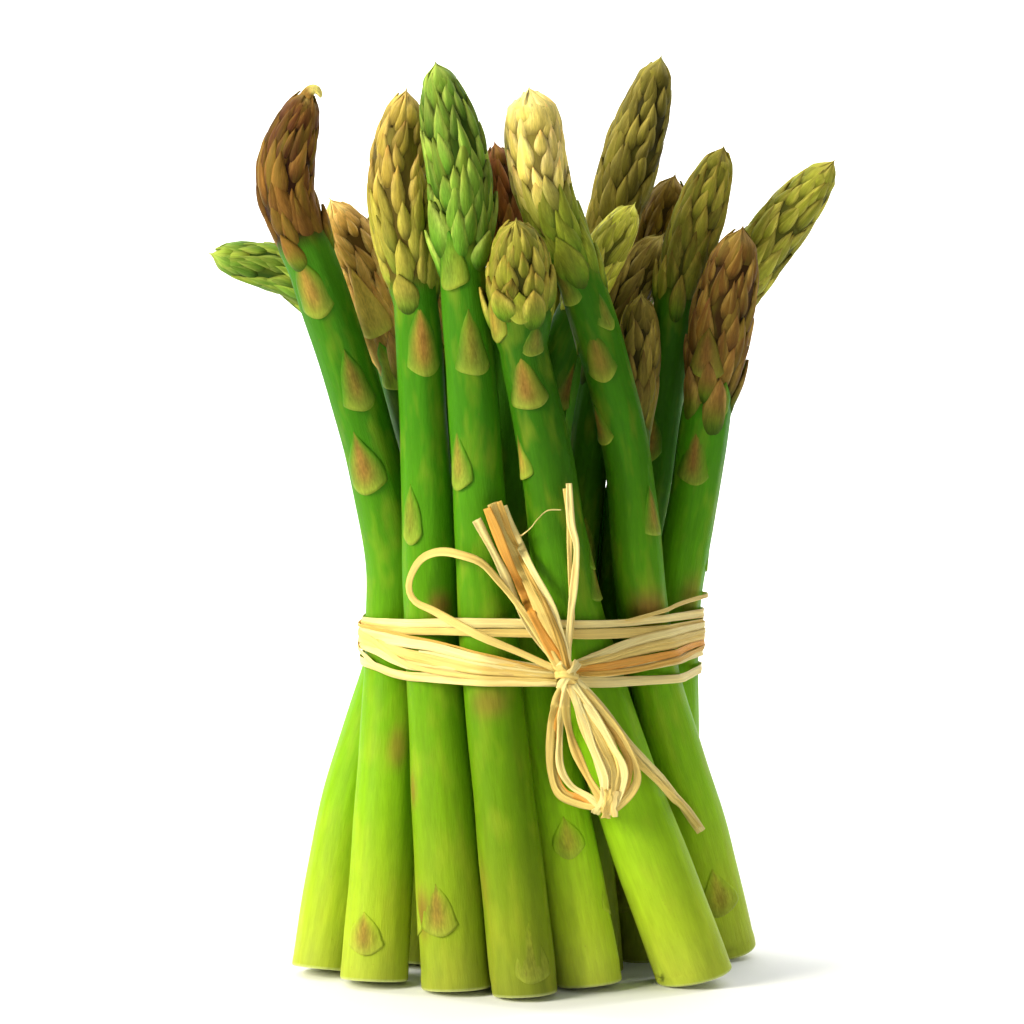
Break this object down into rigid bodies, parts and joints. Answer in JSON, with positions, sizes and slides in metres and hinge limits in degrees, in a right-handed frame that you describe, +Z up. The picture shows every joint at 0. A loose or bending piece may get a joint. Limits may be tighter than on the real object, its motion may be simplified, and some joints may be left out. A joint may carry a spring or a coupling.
{
  "type": "asparagus bundle",
  "caption": "Bundle of green asparagus spears standing upright on their cut ends, tied at the waist with pale raffia in a loose bow",
  "frame": {"origin": "centre of the middle spear's flat cut end, on the surface that the bundle stands on", "axes": "+Z up along the bundle, -Y the front with the raffia bow, +X to the right as seen from the front"},
  "size_m": [0.138, 0.0916, 0.2007],
  "materials": {
    "asparagus": "fresh green skin with a waxy sheen, yellower at the foot, brown and purple bracts",
    "raffia": "dry straw-coloured palm fibre, matt with fine lengthwise grain"
  },
  "bodies": {
    "root": {"spear_01": "asparagus", "spear_02": "asparagus", "spear_03": "asparagus", "spear_04": "asparagus", "spear_05": "asparagus", "spear_06": "asparagus", "spear_07": "asparagus", "spear_08": "asparagus", "spear_09": "asparagus", "spear_10": "asparagus", "spear_11": "asparagus", "spear_12": "asparagus", "spear_13": "asparagus", "spear_14": "asparagus", "spear_15": "asparagus", "spear_16": "asparagus", "spear_17": "asparagus", "spear_18": "asparagus", "spear_19": "asparagus", "spear_20": "asparagus", "raffia_wraps": "raffia", "raffia_bow": "raffia"}
  },
  "joints": []
}
